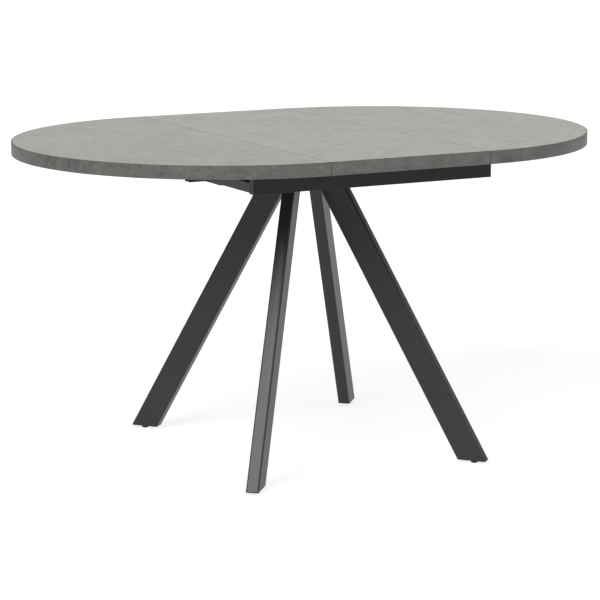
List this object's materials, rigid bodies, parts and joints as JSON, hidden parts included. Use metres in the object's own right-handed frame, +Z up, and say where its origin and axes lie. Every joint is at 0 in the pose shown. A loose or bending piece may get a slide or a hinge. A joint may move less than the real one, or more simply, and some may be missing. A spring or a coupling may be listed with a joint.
{
  "type": "extendable dining table",
  "caption": "Round dining table with a splayed tube-leg base; its two half tops slide apart and a folding leaf fills the gap to make a long oval.",
  "frame": {"origin": "on the floor under the middle of the top", "axes": "+X along the direction the table extends, +Y across the table, +Z up from the floor"},
  "size_m": [1.4, 1, 0.76],
  "materials": {
    "concrete_laminate": "matt concrete-effect laminate on board",
    "edge_banding": "matt dark grey edge band",
    "powder_coated_steel": "fine-textured anthracite powder coat",
    "black_plastic": "moulded black plastic",
    "nylon": "natural nylon",
    "zinc_steel": "zinc-plated steel"
  },
  "bodies": {
    "base": {"leg_back_right": "powder_coated_steel", "leg_back_left": "powder_coated_steel", "leg_front_left": "powder_coated_steel", "leg_front_right": "powder_coated_steel", "leg_cap_back_right": "black_plastic", "leg_cap_back_left": "black_plastic", "leg_cap_front_left": "black_plastic", "leg_cap_front_right": "black_plastic", "leg_plate": "powder_coated_steel", "plate_bolt_1": "zinc_steel", "plate_bolt_2": "zinc_steel", "plate_bolt_3": "zinc_steel", "plate_bolt_4": "zinc_steel", "side_rail_front": "powder_coated_steel", "side_rail_back": "powder_coated_steel", "rail_end_cap_front_left": "black_plastic", "rail_end_cap_front_right": "black_plastic", "rail_end_cap_back_left": "black_plastic", "rail_end_cap_back_right": "black_plastic", "end_crossbar_left": "powder_coated_steel", "end_crossbar_right": "powder_coated_steel", "mid_crossbar_left": "powder_coated_steel", "mid_crossbar_right": "powder_coated_steel", "crossbar_strap_left": "powder_coated_steel", "crossbar_strap_right": "powder_coated_steel", "guide_plate_front": "powder_coated_steel", "guide_plate_back": "powder_coated_steel", "guide_shoe_front_left": "nylon", "guide_shoe_front_right": "nylon", "guide_shoe_back_left": "nylon", "guide_shoe_back_right": "nylon", "pinion_axle": "zinc_steel"},
    "left_half": {"top_half_left": "concrete_laminate", "edge_band_left": "edge_banding", "runner_front_left": "powder_coated_steel", "runner_back_left": "powder_coated_steel", "rack_left": "nylon", "leaf_dowel_front_left": "zinc_steel", "leaf_dowel_back_left": "zinc_steel"},
    "right_half": {"top_half_right": "concrete_laminate", "edge_band_right": "edge_banding", "runner_front_right": "powder_coated_steel", "runner_back_right": "powder_coated_steel", "rack_right": "nylon", "leaf_dowel_front_right": "zinc_steel", "leaf_dowel_back_right": "zinc_steel"},
    "pinion_gear": {"pinion": "nylon"},
    "front_leaf": {"leaf_front": "concrete_laminate", "leaf_edge_band_front": "edge_banding", "leaf_hinge_front_left": "zinc_steel", "leaf_hinge_front_right": "zinc_steel"},
    "back_leaf": {"leaf_back": "concrete_laminate", "leaf_edge_band_back": "edge_banding", "leaf_hinge_back_left": "zinc_steel", "leaf_hinge_back_right": "zinc_steel"},
    "foot_back_right": {"levelling_foot_back_right": "black_plastic"},
    "foot_back_left": {"levelling_foot_back_left": "black_plastic"},
    "foot_front_left": {"levelling_foot_front_left": "black_plastic"},
    "foot_front_right": {"levelling_foot_front_right": "black_plastic"}
  },
  "joints": [
    {"name": "left_half_slide", "type": "slide", "parent": "base", "child": "left_half", "axis": [-1, 0, 0], "range_m": [0, 0.03]},
    {"name": "right_half_slide", "type": "slide", "parent": "base", "child": "right_half", "axis": [1, 0, 0], "range_m": [0, 0.03]},
    {"name": "pinion_spin", "type": "hinge", "parent": "base", "child": "pinion_gear", "pos_m": [0, -0.2835, 0.718], "axis": [0, 0, -1], "range_deg": [0, 197]},
    {"name": "leaf_lift", "type": "slide", "parent": "base", "child": "front_leaf", "axis": [0, 0, 1], "range_m": [0, 0.15]},
    {"name": "leaf_fold", "type": "hinge", "parent": "front_leaf", "child": "back_leaf", "pos_m": [0, 0, 0.7603], "axis": [1, 0, 0], "range_deg": [0, 180]},
    {"name": "foot_back_right_turn", "type": "hinge", "parent": "base", "child": "foot_back_right", "pos_m": [0.2938, 0.31777, 0], "axis": [0, 0, 1], "continuous": true},
    {"name": "foot_back_left_turn", "type": "hinge", "parent": "base", "child": "foot_back_left", "pos_m": [-0.27496, 0.33421, 0], "axis": [0, 0, 1], "continuous": true},
    {"name": "foot_front_left_turn", "type": "hinge", "parent": "base", "child": "foot_front_left", "pos_m": [-0.2938, -0.31777, 0], "axis": [0, 0, 1], "continuous": true},
    {"name": "foot_front_right_turn", "type": "hinge", "parent": "base", "child": "foot_front_right", "pos_m": [0.27496, -0.33421, 0], "axis": [0, 0, 1], "continuous": true}
  ],
  "couplings": [
    {"joint": "right_half_slide", "follows": "left_half_slide", "ratio": 1},
    {"joint": "pinion_spin", "follows": "left_half_slide", "rad_per_m": 114.29}
  ]
}
